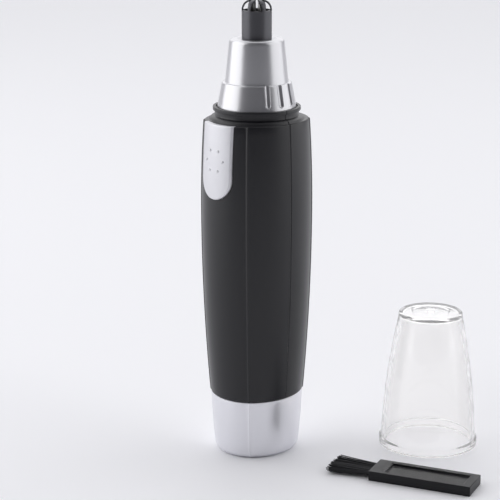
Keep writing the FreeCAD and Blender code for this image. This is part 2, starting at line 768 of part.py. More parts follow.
def build_head():
    foot = S.seat_floor + S.head_gap
    wall = S.head_wall
    body = new_body("head_cover")
    add_turned(body, "head_shell", [
        (S.ring_foot - 0.3, foot),
        (S.ring_foot, foot + 0.3),
        (S.ring_top, S.ring_high - 0.2),
        (S.ring_top - 0.2, S.ring_high),
        (S.cone_foot, S.ring_high),
        (S.cone_top, S.head_high - S.shoulder),
        (S.cone_top - S.shoulder * 0.93, S.head_high, S.shoulder * 1.02, "left"),
        (S.cutter_radius + 1.2, S.head_high),
        (S.cutter_radius + 0.3, S.head_high - 0.9),
        (S.cutter_radius + 0.2, S.head_high - 1.6),
        (S.cone_top - wall - 0.2, S.head_high - 1.6),
        (S.cone_foot - wall, S.ring_high),
        (S.ring_foot - wall - 0.1, foot + 1.6),
        (S.ring_foot - wall - 0.1, foot),
    ])
    for side in (0, 180):
        for step in (-1, 0, 1):
            turn = side + S.groove_turn.value + step * S.groove_pitch.value
            grip_groove(body, f"grip_groove_{side}_{step + 1}", turn)

    insert_body = revolve("insert_body", [
        (7.6, 93.2),
        (8.75, 93.2),
        (8.75, foot),
        (S.ring_foot - wall - 0.15, foot),
        (S.ring_foot - wall - 0.15, foot + 1.2),
        (6.6, foot + 4),
        (5.8, S.cutter_low),
        (3.1, S.cutter_low),
        (3.1, foot + 5),
        (4.2, foot + 3.2),
        (7.6, foot + 0.4),
    ])
    lugs = common("head_lug_pair", ring("head_lug_ring", 9.4, 8.0, 93.4, 94.8),
                  block("head_lug_span", -1.2, 1.2, -12, 12, 90, 97))
    insert = fuse("head_insert", insert_body, lugs)
    return [body, insert]


def grip_groove(body, name, angle):
    """A round-bottomed groove down the grip ring, open at the ring's top edge."""
    bite = S.groove_radius
    foot = S.seat_floor + S.head_gap
    low = foot + 1.0
    sketch = new_sketch(body, name + "_profile", "XZ_Plane", 0, angle)
    slope = (S.ring_foot - S.ring_top) / (S.ring_high - foot)
    bottom = S.ring_foot - slope * (low - foot)
    top = S.ring_top - slope
    draw_outline(sketch, [
        (bottom + S.groove_out, low - bite),
        (bottom - bite + S.groove_out, low, bite * 1.02, "left"),
        (top - bite + S.groove_out, S.ring_high + 1),
        (top + S.groove_out, S.ring_high + 1),
    ])
    feature = body.newObject("PartDesign::Groove", name)
    feature.Profile = sketch
    feature.ReferenceAxis = (sketch, ["Edge4"])
    feature.Angle = 360
    doc.recompute()


def build_cutter():
    inner = S.cutter_radius - S.cutter_wall
    centre = S.cutter_radius - S.dome_round
    dome_rise = math.sqrt(S.dome_round.value ** 2 - (S.dome_hole.value - centre.value) ** 2)
    inner_round = S.dome_round - S.cutter_wall
    inner_rise = math.sqrt(inner_round.value ** 2 - (S.dome_hole.value - centre.value) ** 2)
    body = new_body("cutter_tube")
    add_turned(body, "cutter_shell", [
        (inner, S.cutter_low),
        (5.4, S.cutter_low),
        (5.4, S.cutter_low + 0.6),
        (S.cutter_radius, S.cutter_low + 0.6),
        (S.cutter_radius, S.dome_low),
        (S.dome_hole, S.dome_low + dome_rise, S.dome_round, "right"),
        (S.dome_hole, S.dome_low + inner_rise),
        (inner, S.dome_low, inner_round, "left"),
    ])
    before = volume(body)
    slot_sketch = new_sketch(body, "slot_outline", "XY_Plane", 128)
    reach = 6.0
    apex = S.bar_width
    lean = math.tan(math.radians(30))
    draw_outline(slot_sketch, [
        (apex, 0),
        (reach, -(reach - apex.value) * lean),
        (reach, (reach - apex.value) * lean),
    ])
    slot = body.newObject("PartDesign::Pocket", "dome_slot")
    slot.Profile = slot_sketch
    bind(slot, "Length", -(S.slot_low - 128))
    doc.recompute()
    pattern = body.newObject("PartDesign::PolarPattern", "dome_slots")
    pattern.Originals = [slot]
    pattern.Axis = (slot_sketch, ["N_Axis"])
    pattern.Angle = 360
    pattern.Occurrences = 6
    body.Tip = pattern
    assert volume(body) < before - 5, "the dome's slots are missing"
    body.Placement = Placement(Vector(), Rotation(Vector(0, 0, 1), 17))

    retainer = revolve("tube_retainer", [
        (S.cutter_radius + 0.05, S.cutter_low + 0.6), (5.6, S.cutter_low + 0.6),
        (5.6, S.head_high - 1.6), (S.cutter_radius + 0.05, S.head_high - 1.6)])

    rod = revolve("spindle_rod", [
        (0, 99.6), (1.6, 99.6), (1.6, 106.8), (2.6, 106.8), (2.6, 107.6), (1.6, 107.8),
        (1.6, 117.2), (1.1, 117.2), (1.1, 119.2), (0, 119.2)])
    tang = block("spindle_tang", -2.2, 2.2, -0.6, 0.6, 95.7, 99.7)
    spindle = fuse("blade_spindle", rod, tang)
    spring = coil("blade_spring", 2.4, 0.3, 1.3, 99.95, 106.45)

    blade_body = new_body("blade_plate")
    blade_round = inner_round - 0.14
    blade_rise = math.sqrt(blade_round.value ** 2 - 0.25 ** 2)
    outer = inner - 0.14
    tip = centre + 0.25
    pad(blade_body, "blade_pad", [
        (-outer, 118.4),
        (outer, 118.4),
        (outer, S.dome_low),
        (tip, S.dome_low + blade_rise, blade_round, "right"),
        (1.0, 120.6),
        (-1.0, 120.6),
        (-tip, S.dome_low + blade_rise),
        (-outer, S.dome_low, blade_round, "right"),
    ], 0.5, plane="XZ_Plane", midplane=True)
    socket = ring("blade_socket", 2.3, 1.1, 117.2, 119.2)
    blade = fuse("inner_blade", cut("blade_cleared", blade_body,
                                    drum("blade_clear", 1.1, 117, 119.2)), socket)
    blade.Placement = Placement(Vector(), Rotation(Vector(0, 0, 1), -23))
    return [body, retainer, spindle, spring, blade]


# ------------------------------------------------- clear cap and brush

def build_clear_cap():
    wall = S.clear_wall
    band = S.clear_rim - 0.55
    body = revolve("clear_cap", [
        (S.clear_rim - 1.7, 0),
        (S.clear_rim - 0.3, 0),
        (S.clear_rim, 0.3),
        (S.clear_rim, 1.9),
        (band, 2.4),
        (S.clear_top, S.clear_high - 1.5, S.clear_bend, "right"),
        (S.clear_top - 1.7, S.clear_high, 1.75, "right"),
        (5.2, S.clear_high),
        (4.9, S.clear_high - 0.3),
        (1.1, S.clear_high - 0.3),
        (0.9, S.clear_high),
        (0, S.clear_high),
        (0, S.clear_high - wall - 0.2),
        (S.clear_top - wall - 1.2, S.clear_high - wall - 0.2),
        (S.clear_top - wall, S.clear_high - wall - 1.4, 1.3, "left"),
        (band - wall, 2.4, S.clear_bend, "left"),
    ])
    bind(body, ".Placement.Base.x", S.clear_across)
    bind(body, ".Placement.Base.y", S.clear_back)
    return [body]


def build_brush():
    half_long, half_wide = S.brush_long / 2, S.brush_wide / 2
    handle = new_body("brush_handle")
    pad(handle, "handle_block", rectangle(-half_long, half_long, -half_wide, half_wide),
        S.brush_thick)
    round_edges(handle, "handle_round", 0.35, lambda edge: edge.BoundBox.ZMin > 0.01)
    pocket(handle, "handle_panel",
           rectangle(-half_long + 4.3, half_long - 2.4, -half_wide + 1.7, half_wide - 1.7),
           0.55, offset=S.brush_thick)
    pocket(handle, "bristle_socket",
           rectangle(-half_long - 1, -half_long + 2.1, -S.bristle_root / 2 - 0.4,
                     S.bristle_root / 2 + 0.4),
           1.85, offset=S.brush_thick - 0.4)

    tuft = new_body("brush_bristles")
    sections = []
    for name, distance, width, low, high in (
            ("root", half_long - 2, S.bristle_root / 2, 0.55, 2.15),
            ("tip", half_long + S.bristle_long, S.bristle_tip / 2, 0.35, 2.45)):
        sketch = new_sketch(tuft, "tuft_" + name, "YZ_Plane")
        sketch.AttachmentOffset = Placement(Vector(0, 0, -distance.value), Rotation())
        bind(sketch, ".AttachmentOffset.Base.z", -distance)
        draw_outline(sketch, rectangle(-width, width, low, high))
        sections.append(sketch)
    loft = tuft.newObject("PartDesign::AdditiveLoft", "tuft_loft")
    loft.Profile = sections[0]
    loft.Sections = sections[1:]
    for piece in (handle, tuft):
        piece.Placement = Placement(Vector(0, 0, 0), Rotation(Vector(0, 0, 1), S.brush_turn.value))
        bind(piece, ".Placement.Base.x", S.brush_across)
        bind(piece, ".Placement.Base.y", S.brush_back)
    return [handle, tuft]


# ---------------------------------------------------------------- write

def check(thing):
    shape = thing.Shape
    assert not shape.isNull() and shape.isValid(), thing.Label + " has a bad shape"
    assert shape.Solids, thing.Label + " has no solid"


def write_parts(parts):
    doc.recompute()
    for thing in doc.Objects:
        failed = {"Invalid", "Error"} & set(thing.State)
        assert not failed, f"{thing.Label}: {thing.State}"
    for thing in parts:
        check(thing)
    os.makedirs("parts", exist_ok=True)
    for thing in parts:
        thing.Shape.exportStep(f"parts/{thing.Label}.step")
        print(f"{thing.Label:20s} {thing.Shape.Volume:10.2f} mm3, "
              f"{len(thing.Shape.Solids)} solid(s)")


write_parts(
    build_casings()
    + build_switch()
    + build_battery_cap()
    + build_cell()
    + build_chassis()
    + build_motor()
    + build_rotor()
    + build_head()
    + build_cutter()
    + build_clear_cap()
    + build_brush()
)
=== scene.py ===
# %% [markdown]
# # A battery nose hair trimmer, with its clear cap and cleaning brush
#
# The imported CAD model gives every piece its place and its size. This lesson dresses it: the
# shells that show get clean, rounded meshes of their own, and each piece gets a material
# made of nodes. Lengths in the headings below are millimetres, and `MM` turns them into
# Blender's metres.

# %% Load the frame
import json
import math

import bmesh
import bpy
import numpy as np
from mathutils import Matrix, Vector


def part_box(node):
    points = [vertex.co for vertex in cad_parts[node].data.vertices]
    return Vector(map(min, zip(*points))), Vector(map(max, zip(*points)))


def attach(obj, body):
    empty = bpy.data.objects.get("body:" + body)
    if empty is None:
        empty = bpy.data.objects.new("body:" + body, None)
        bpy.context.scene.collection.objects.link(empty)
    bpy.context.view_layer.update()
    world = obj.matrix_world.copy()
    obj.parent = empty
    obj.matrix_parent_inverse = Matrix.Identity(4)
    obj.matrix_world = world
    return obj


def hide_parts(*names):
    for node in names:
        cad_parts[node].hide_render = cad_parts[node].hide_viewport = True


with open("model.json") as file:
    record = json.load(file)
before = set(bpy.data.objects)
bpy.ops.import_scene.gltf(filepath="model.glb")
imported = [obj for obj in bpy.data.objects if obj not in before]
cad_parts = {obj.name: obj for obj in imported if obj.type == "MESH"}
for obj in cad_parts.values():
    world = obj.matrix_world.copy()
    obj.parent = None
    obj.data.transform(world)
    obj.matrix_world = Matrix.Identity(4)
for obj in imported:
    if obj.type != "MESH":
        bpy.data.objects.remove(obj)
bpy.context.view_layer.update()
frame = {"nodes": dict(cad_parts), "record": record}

MM = 0.001


def heights_of(node):
    """A CAD node's lowest and highest heights at rest, in mm."""
    return [round(corner.z / MM, 2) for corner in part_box(node)]


CASING_LOW, NECK_HIGH = heights_of("front_casing")
HEAD_FOOT, HEAD_HIGH = heights_of("head_cover")
TUBE_LOW = heights_of("cutter_tube")[0]
print("casing, mm:", CASING_LOW, NECK_HIGH, "head:", HEAD_FOOT, HEAD_HIGH, "tube from", TUBE_LOW)

# %% [markdown]
# ## Where the camera stands
#
# The trimmer is seen from its front right, between the switch and the casing's seam, a
# little from above and from far away, so that its sides stay nearly parallel. A long lens
# far off does that. The camera is aimed by its heading and its downward tilt rather than by
# a target, because those are the two angles that a tripod head is set to.

# %% Camera
HEADING = math.radians(47.9)
TILT = math.radians(14.8)
CAMERA_AWAY = 478 * MM
CAMERA_HIGH = 183 * MM
SENSOR = 36
LENS = 129.0
SHIFT_ACROSS, SHIFT_UP = -0.0136, 0.002

toward_camera = Vector((math.sin(HEADING), -math.cos(HEADING), 0))
screen_right = Vector((math.cos(HEADING), math.sin(HEADING), 0))

camera_data = bpy.data.cameras.new("studio_camera")
camera_data.sensor_width = SENSOR
camera_data.lens = LENS
camera_data.shift_x = SHIFT_ACROSS
camera_data.shift_y = SHIFT_UP
camera = bpy.data.objects.new("studio_camera", camera_data)
camera.location = toward_camera * CAMERA_AWAY + Vector((0, 0, CAMERA_HIGH))
camera.rotation_euler = (math.radians(90) - TILT, 0, HEADING)
bpy.context.scene.collection.objects.link(camera)
bpy.context.scene.camera = camera
print("camera at, mm:", [round(value / MM) for value in camera.location])

# %% [markdown]
# ## The floor and the light
#
# Small silver things look best between two big soft boxes, one at each side, with nothing
# bright near the camera. The silver then shows two white bands with a dark
# stripe between them. The floor runs far back, so that no horizon shows, and a weak sky
# fills the rest.

# %% Floor
FLOOR_HALF = 4.0
FLOOR_DROP = 0.02 * MM
FLOOR_COLOR = (0.94, 0.94, 0.965, 1)


def new_material(name):
    """An empty node material with a Principled BSDF joined to its output."""
    material = bpy.data.materials.new(name)
    material.use_nodes = True
    return material, material.node_tree, material.node_tree.nodes["Principled BSDF"]


floor_mesh = bpy.data.meshes.new("floor")
floor_corners = [(-FLOOR_HALF, -FLOOR_HALF, 0), (FLOOR_HALF, -FLOOR_HALF, 0),
                 (FLOOR_HALF, FLOOR_HALF, 0), (-FLOOR_HALF, FLOOR_HALF, 0)]
floor_mesh.from_pydata(floor_corners, [], [(0, 1, 2, 3)])
floor = bpy.data.objects.new("floor", floor_mesh)
floor.location.z = -FLOOR_DROP
bpy.context.scene.collection.objects.link(floor)

floor_material, _, floor_shader = new_material("floor_paper")
floor_shader.inputs["Base Color"].default_value = FLOOR_COLOR
floor_shader.inputs["Roughness"].default_value = 0.55
floor_shader.inputs["Specular IOR Level"].default_value = 0.2
floor_mesh.materials.append(floor_material)
print("floor is", 2 * FLOOR_HALF, "m across")

# %% Lights
SIDE_LIFT, SIDE_AWAY, SIDE_SIZE = 0.38, 0.85, 1.1
LEFT_WATTS, RIGHT_WATTS = 5.6, 3.9
TOP_LEAN, TOP_AWAY, TOP_SIZE, TOP_WATTS = 0.9, 1.9, 3.2, 26


def soft_box(name, direction, distance, size, watts, aim=(0, 0, 60)):
    """A square area light that faces the trimmer from one direction."""
    data = bpy.data.lights.new(name, "AREA")
    data.shape = "RECTANGLE"
    data.size, data.size_y = size, size
    data.energy = watts
    lamp = bpy.data.objects.new(name, data)
    target = Vector(aim) * MM
    lamp.location = target + Vector(direction).normalized() * distance
    lamp.rotation_euler = (target - lamp.location).to_track_quat("-Z", "Y").to_euler()
    bpy.context.scene.collection.objects.link(lamp)
    return lamp


upward = Vector((0, 0, 1))
soft_box("left_box", -screen_right + SIDE_LIFT * upward, SIDE_AWAY, SIDE_SIZE, LEFT_WATTS)
soft_box("right_box", screen_right + SIDE_LIFT * upward, SIDE_AWAY, SIDE_SIZE, RIGHT_WATTS)
soft_box("top_box", upward - TOP_LEAN * toward_camera, TOP_AWAY, TOP_SIZE, TOP_WATTS)

view = bpy.context.scene.view_settings
view.view_transform = "Standard"
view.look = "None"

# %% [markdown]
# The sky is bright behind the trimmer and dark on the camera's side, so that the silver has
# something dark to mirror. It turns with a fixed direction in the room, not with the camera.
# Rays that come straight from the camera see one plain pale tone.

# %% Sky
SKY_BEHIND, SKY_IN_FRONT = (0.80, 0.80, 0.84, 1), (0.10, 0.10, 0.11, 1)
SKY_SEEN = (0.90, 0.90, 0.93, 1)
DARK_FROM = 0.85
SKY_STRENGTH = 0.74

world = bpy.data.worlds.new("studio")
bpy.context.scene.world = world
world.use_nodes = True
sky_nodes, sky_links = world.node_tree.nodes, world.node_tree.links
coordinates = sky_nodes.new("ShaderNodeTexCoord")
facing = sky_nodes.new("ShaderNodeVectorMath")
facing.operation = "DOT_PRODUCT"
facing.inputs[1].default_value = toward_camera
ramp = sky_nodes.new("ShaderNodeValToRGB")
ramp.color_ramp.elements[0].position = 0.0
ramp.color_ramp.elements[0].color = SKY_BEHIND
ramp.color_ramp.elements[1].position = DARK_FROM
ramp.color_ramp.elements[1].color = SKY_IN_FRONT
half_turn = sky_nodes.new("ShaderNodeMath")
half_turn.operation = "MULTIPLY_ADD"
half_turn.inputs[1].default_value = 0.5
half_turn.inputs[2].default_value = 0.5
rays = sky_nodes.new("ShaderNodeLightPath")
seen = sky_nodes.new("ShaderNodeMix")
seen.data_type = "RGBA"
seen.inputs[7].default_value = SKY_SEEN
background = sky_nodes["Background"]
sky_links.new(coordinates.outputs["Generated"], facing.inputs[0])
sky_links.new(facing.outputs["Value"], half_turn.inputs[0])
sky_links.new(half_turn.outputs[0], ramp.inputs["Fac"])
sky_links.new(ramp.outputs["Color"], seen.inputs[6])
sky_links.new(rays.outputs["Is Camera Ray"], seen.inputs[0])
sky_links.new(seen.outputs[2], background.inputs["Color"])
background.inputs["Strength"].default_value = SKY_STRENGTH
print("sky strength", SKY_STRENGTH)

# %% [markdown]
# ## Shader groups
#
# Moulded plastic, paint and steel all have a surface that is never quite even: the gloss
# drifts, and a fine grain breaks the highlights. One group makes that for every material.
# It takes a grain size and strengths, and gives out a roughness, a colour and a height.

# %% Surface grain group
DRIFT_PER_METRE = 55


def add_socket(group, name, kind, way, value=None):
    socket = group.interface.new_socket(name=name, in_out=way, socket_type=kind)
    if value is not None:
        socket.default_value = value
    return socket


def math_node(tree, operation, first, second=None, third=None, clamp=False):
    """A Math node whose inputs are sockets or plain numbers."""
    node = tree.nodes.new("ShaderNodeMath")
    node.operation = operation
    node.use_clamp = clamp
    for index, given in enumerate((first, second, third)):
        if given is None:
            continue
        if isinstance(given, (int, float)):
            node.inputs[index].default_value = given
        else:
            tree.links.new(given, node.inputs[index])
    return node.outputs[0]


def build_grain_group():
    """Uneven gloss, faint cloudiness of the colour, and a fine grain for the bump."""
    group = bpy.data.node_groups.new("surface_grain", "ShaderNodeTree")
    add_socket(group, "Color", "NodeSocketColor", "INPUT", (0.5, 0.5, 0.5, 1))
    add_socket(group, "Roughness", "NodeSocketFloat", "INPUT", 0.4)
    add_socket(group, "Gloss drift", "NodeSocketFloat", "INPUT", 0.08)
    add_socket(group, "Color drift", "NodeSocketFloat", "INPUT", 0.06)
    add_socket(group, "Grain per metre", "NodeSocketFloat", "INPUT", 6000.0)
    add_socket(group, "Color", "NodeSocketColor", "OUTPUT")
    add_socket(group, "Roughness", "NodeSocketFloat", "OUTPUT")
    add_socket(group, "Height", "NodeSocketFloat", "OUTPUT")
    nodes, links = group.nodes, group.links
    start, end = nodes.new("NodeGroupInput"), nodes.new("NodeGroupOutput")
    place = nodes.new("ShaderNodeTexCoord")

    drift = nodes.new("ShaderNodeTexNoise")
    drift.inputs["Scale"].default_value = DRIFT_PER_METRE
    drift.inputs["Detail"].default_value = 4
    grain = nodes.new("ShaderNodeTexNoise")
    grain.inputs["Detail"].default_value = 2
    for texture in (drift, grain):
        links.new(place.outputs["Object"], texture.inputs["Vector"])
    links.new(start.outputs["Grain per metre"], grain.inputs["Scale"])

    centred = math_node(group, "SUBTRACT", drift.outputs["Fac"], 0.5)
    gloss = math_node(group, "MULTIPLY", centred, start.outputs["Gloss drift"])
    rough = math_node(group, "ADD", start.outputs["Roughness"], gloss, clamp=True)
    shade = math_node(group, "MULTIPLY_ADD", centred, start.outputs["Color drift"], 1.0)
    tint = nodes.new("ShaderNodeVectorMath")
    tint.operation = "SCALE"
    links.new(start.outputs["Color"], tint.inputs[0])
    links.new(shade, tint.inputs["Scale"])
    links.new(tint.outputs[0], end.inputs["Color"])
    links.new(rough, end.inputs["Roughness"])
    links.new(grain.outputs["Fac"], end.inputs["Height"])
    return group


GRAIN = build_grain_group()
print("group inputs:", [item.name for item in GRAIN.interface.items_tree if item.in_out == "INPUT"])

# %% [markdown]
# ## Materials
#
# Each finish is the same grain group with its own numbers, placed in a material that holds
# the Principled BSDF. Numbers that are the same all over a piece, such as the metallic
# share, are set straight on the shader.

# %% Material helper
finishes = {}


def finish_material(name, color, roughness, metallic=0.0, gloss_drift=0.08, color_drift=0.08,
                    grain=6000.0, bump=0.02, depth=0.02, specular=0.5, coat=0.0,
                    coat_roughness=0.1):
    """A finish: colour, gloss and grain from the group, the rest on the shader."""
    material, tree, shader = new_material(name)
    grained = tree.nodes.new("ShaderNodeGroup")
    grained.node_tree = GRAIN
    grained.inputs["Color"].default_value = (*color, 1)
    grained.inputs["Roughness"].default_value = roughness
    grained.inputs["Gloss drift"].default_value = gloss_drift
    grained.inputs["Color drift"].default_value = color_drift
    grained.inputs["Grain per metre"].default_value = grain
    relief = tree.nodes.new("ShaderNodeBump")
    relief.inputs["Strength"].default_value = bump
    relief.inputs["Distance"].default_value = depth * MM
    tree.links.new(grained.outputs["Height"], relief.inputs["Height"])
    tree.links.new(grained.outputs["Color"], shader.inputs["Base Color"])
    tree.links.new(grained.outputs["Roughness"], shader.inputs["Roughness"])
    tree.links.new(relief.outputs["Normal"], shader.inputs["Normal"])
    shader.inputs["Metallic"].default_value = metallic
    shader.inputs["Specular IOR Level"].default_value = specular
    shader.inputs["Coat Weight"].default_value = coat
    shader.inputs["Coat Roughness"].default_value = coat_roughness
    finishes[name] = material
    return material


# %% Finishes
finish_material("satin_black", (0.0085, 0.0085, 0.0112), 0.34, bump=0.25, grain=5200, depth=0.03,
                specular=0.46)
finish_material("inner_black", (0.02, 0.02, 0.021), 0.5, bump=0.2)
finish_material("silver_cap", (0.83, 0.83, 0.87), 0.33, metallic=0.82, bump=0.12, grain=9000,
                gloss_drift=0.03, color_drift=0.03)
finish_material("silver_head", (0.64, 0.64, 0.66), 0.29, metallic=0.88, bump=0.12, grain=9000,
                gloss_drift=0.03, color_drift=0.03)
finish_material("silver_switch", (0.70, 0.70, 0.73), 0.42, metallic=0.6, bump=0.2, grain=9000)
finish_material("gunmetal", (0.10, 0.10, 0.108), 0.34, metallic=1.0, bump=0.2, grain=3000)
finish_material("blade_steel", (0.35, 0.35, 0.34), 0.3, metallic=1.0, bump=0.2)
finish_material("bright_steel", (0.62, 0.62, 0.63), 0.28, metallic=1.0)
finish_material("spring_steel", (0.5, 0.5, 0.52), 0.22, metallic=1.0)
finish_material("brass_contact", (0.72, 0.50, 0.20), 0.26, metallic=1.0)
finish_material("bronze", (0.42, 0.25, 0.12), 0.5, metallic=1.0, bump=0.4)
finish_material("magnet", (0.07, 0.066, 0.066), 0.6, bump=0.5)
finish_material("copper", (0.62, 0.25, 0.11), 0.3, metallic=0.9)
finish_material("white_plastic", (0.72, 0.72, 0.68), 0.45)
finish_material("grey_plastic", (0.27, 0.28, 0.30), 0.45)
finish_material("battery_label", (0.07, 0.20, 0.12), 0.25)
finish_material("battery_steel", (0.60, 0.60, 0.58), 0.25, metallic=1.0)
finish_material("brush_black", (0.004, 0.004, 0.006), 0.36, bump=0.6, grain=2600, depth=0.06,
                specular=0.3)
finish_material("bristle_black", (0.004, 0.004, 0.007), 0.35, specular=0.3)
print(len(finishes), "solid finishes")

# %% [markdown]
# Clear plastic is all transmission. A little alpha thins its darkest lines, and its shadow is
# let through by a transparent shader that only shadow rays meet, because light that is bent
# by a thin cap would otherwise leave it far too dark on the floor.

# %% Clear plastic
clear_material, clear_tree, clear_shader = new_material("clear_plastic")
clear_shader.inputs["Base Color"].default_value = (1.0, 0.995, 0.985, 1)
clear_shader.inputs["Roughness"].default_value = 0.07
clear_shader.inputs["IOR"].default_value = 1.36
clear_shader.inputs["Transmission Weight"].default_value = 1.0
clear_shader.inputs["Alpha"].default_value = 0.95
clear_grain = clear_tree.nodes.new("ShaderNodeGroup")
clear_grain.node_tree = GRAIN
clear_grain.inputs["Grain per metre"].default_value = 260
clear_relief = clear_tree.nodes.new("ShaderNodeBump")
clear_relief.inputs["Strength"].default_value = 0.10
clear_relief.inputs["Distance"].default_value = 0.4 * MM
clear_tree.links.new(clear_grain.outputs["Height"], clear_relief.inputs["Height"])
clear_tree.links.new(clear_relief.outputs["Normal"], clear_shader.inputs["Normal"])
see_through = clear_tree.nodes.new("ShaderNodeBsdfTransparent")
see_through.inputs["Color"].default_value = (0.93, 0.93, 0.94, 1)
clear_rays = clear_tree.nodes.new("ShaderNodeLightPath")
clear_mix = clear_tree.nodes.new("ShaderNodeMixShader")
clear_output = clear_tree.nodes["Material Output"]
clear_tree.links.new(clear_rays.outputs["Is Shadow Ray"], clear_mix.inputs[0])
clear_tree.links.new(clear_shader.outputs[0], clear_mix.inputs[1])
clear_tree.links.new(see_through.outputs[0], clear_mix.inputs[2])
clear_tree.links.new(clear_mix.outputs[0], clear_output.inputs["Surface"])
finishes["clear_plastic"] = clear_material
print(len(finishes), "finishes")

# %% Every CAD node takes its slot's finish
slot_of = {item["node"]: item["material_slot"] for item in frame["record"]["subparts"]}
for node_name, node_object in frame["nodes"].items():
    node_object.data.materials.clear()
    node_object.data.materials.append(finishes[slot_of[node_name]])
print(len(slot_of), "nodes dressed")

# %% [markdown]
# ## Mesh helpers
#
# Most of the trimmer is turned or nearly so. A piece is drawn as a path of points from its
# foot to its top, and the path is carried round the axis. Corners of a path are rounded
# before that, because a real edge always catches a line of light.

# %% Paths with rounded corners
def rounded(corners, steps=5):
    """A path whose corners (x, z, radius) are replaced by short arcs. Ends stay sharp."""
    path = []
    for index, (x, z, radius) in enumerate(corners):
        here = Vector((x, z))
        if radius <= 0 or index in (0, len(corners) - 1):
            path.append((x, z))
            continue
        before = (Vector(corners[index - 1][:2]) - here)
        after = (Vector(corners[index + 1][:2]) - here)
        half_angle = before.angle(after) / 2
        reach = min(radius / math.tan(half_angle), before.length * 0.49, after.length * 0.49)
        size = reach * math.tan(half_angle)
        middle = (before.normalized() + after.normalized()).normalized()
        centre = here + middle * (size / math.sin(half_angle))
        first = here + before.normalized() * reach - centre
        last = here + after.normalized() * reach - centre
        start = math.atan2(first.y, first.x)
        swing = math.atan2(first.x * last.y - first.y * last.x, first.dot(last))
        for step in range(steps + 1):
            angle = start + swing * step / steps
            path.append((centre.x + size * math.cos(angle), centre.y + size * math.sin(angle)))
    return path


def mesh_from_grid(name, rows, wrap_rows, wrap_columns, cap_ends=False):
    """A mesh object from rows of points. Points that coincide, as at a pole, are merged."""
    count = len(rows[0])
    shape = bmesh.new()
    grid = [[shape.verts.new(point) for point in row] for row in rows]
    for i in range(len(rows) if wrap_rows else len(rows) - 1):
        row, following = grid[i], grid[(i + 1) % len(rows)]
        for j in range(count if wrap_columns else count - 1):
            k = (j + 1) % count
            shape.faces.new((row[j], row[k], following[k], following[j]))
    if cap_ends:
        shape.faces.new(list(reversed(grid[0])))
        shape.faces.new(grid[-1])
    bmesh.ops.remove_doubles(shape, verts=shape.verts, dist=1e-7)
    bmesh.ops.dissolve_degenerate(shape, edges=shape.edges, dist=1e-8)
    bmesh.ops.recalc_face_normals(shape, faces=shape.faces)
    mesh = bpy.data.meshes.new(name)
    shape.to_mesh(mesh)
    shape.free()
    piece = bpy.data.objects.new(name, mesh)
    bpy.context.scene.collection.objects.link(piece)
    return piece


def lathe(name, path, segments=160, closed=True, centre=(0, 0)):
    """A turned piece: the path (radius, height) in mm, carried round the axis."""
    rows = []
    for radius, height in path:
        row = []
        for step in range(segments):
            angle = 2 * math.pi * step / segments
            row.append(((centre[0] + radius * math.cos(angle)) * MM,
                        (centre[1] + radius * math.sin(angle)) * MM, height * MM))
        rows.append(row)
    return mesh_from_grid(name, rows, closed, True)


def smooth(piece, sharp_over=30):
    """Smooth shading, broken only where faces meet at more than an angle."""
    piece.data.polygons.foreach_set("use_smooth", [True] * len(piece.data.polygons))
    piece.data.set_sharp_from_angle(angle=math.radians(sharp_over))
    return piece


def carve(piece, *tools):
    """Cuts the tools out of the piece, and throws them away."""
    for tool in tools:
        cutter = piece.modifiers.new("carve", "BOOLEAN")
        cutter.operation = "DIFFERENCE"
        cutter.solver = "EXACT"
        cutter.object = tool
    graph = bpy.context.evaluated_depsgraph_get()
    carved = bpy.data.meshes.new_from_object(piece.evaluated_get(graph))
    piece.modifiers.clear()
    old = piece.data
    piece.data = carved
    carved.name = old.name
    bpy.data.meshes.remove(old)
    for tool in tools:
        bpy.data.objects.remove(tool)
    return piece


def soften(piece, width, segments=2, over=35):
    """A small bevel on every edge sharper than an angle."""
    bevel = piece.modifiers.new("soften", "BEVEL")
    bevel.width = width * MM
    bevel.segments = segments
    bevel.limit_method = "ANGLE"
    bevel.angle_limit = math.radians(over)
    bevel.harden_normals = False
    bevel.use_clamp_overlap = True
    return piece


def fit_out(piece, body, slot, *nodes):
    """Gives a piece its body, its finish and the CAD nodes that it stands for."""
    piece.data.materials.clear()
    piece.data.materials.append(finishes[slot])
    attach(piece, body)
    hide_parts(*nodes)
    print(piece.name, len(piece.data.polygons), "faces")
    return piece


# %% [markdown]
# ## The barrel's section
#
# The barrel isn't round. Four arcs meet at four soft ridges: flatter ones at the sides,
# where the casing parts, and rounder ones in front, under the switch, and behind. The
# half-width swells from the battery cap to the middle and narrows again to the neck, along
# two parabolas that meet at the widest height.

# %% Barrel shape
SIDE, FACE = 0.935, 1.03
RIDGE_ACROSS, RIDGE_DEEP = 0.622, 0.796
WIDEST_HEIGHT, WIDEST = 69.5, 14.89
CASING_HIGH = 94.0
HALF_AT_LOW, HALF_AT_HIGH = 12.70, 14.08
SWELL_LOW = (WIDEST - HALF_AT_LOW) / (WIDEST_HEIGHT - CASING_LOW) ** 2
SWELL_HIGH = (WIDEST - HALF_AT_HIGH) / (CASING_HIGH - WIDEST_HEIGHT) ** 2


def half_at(height):
    """The barrel's half-width at a height, in mm."""
    swell = SWELL_LOW if height < WIDEST_HEIGHT else SWELL_HIGH
    return WIDEST - swell * (height - WIDEST_HEIGHT) ** 2


def arc_of(deep, rise):
    """Radius of the arc with half-chord deep and this rise."""
    return (deep ** 2 + rise ** 2) / (2 * rise)


SIDE_BEND = arc_of(RIDGE_DEEP, SIDE - RIDGE_ACROSS)
FACE_BEND = arc_of(RIDGE_ACROSS, FACE - RIDGE_DEEP)
RIDGE_LIFT = 0.016
RIDGE_REACH = 0.028


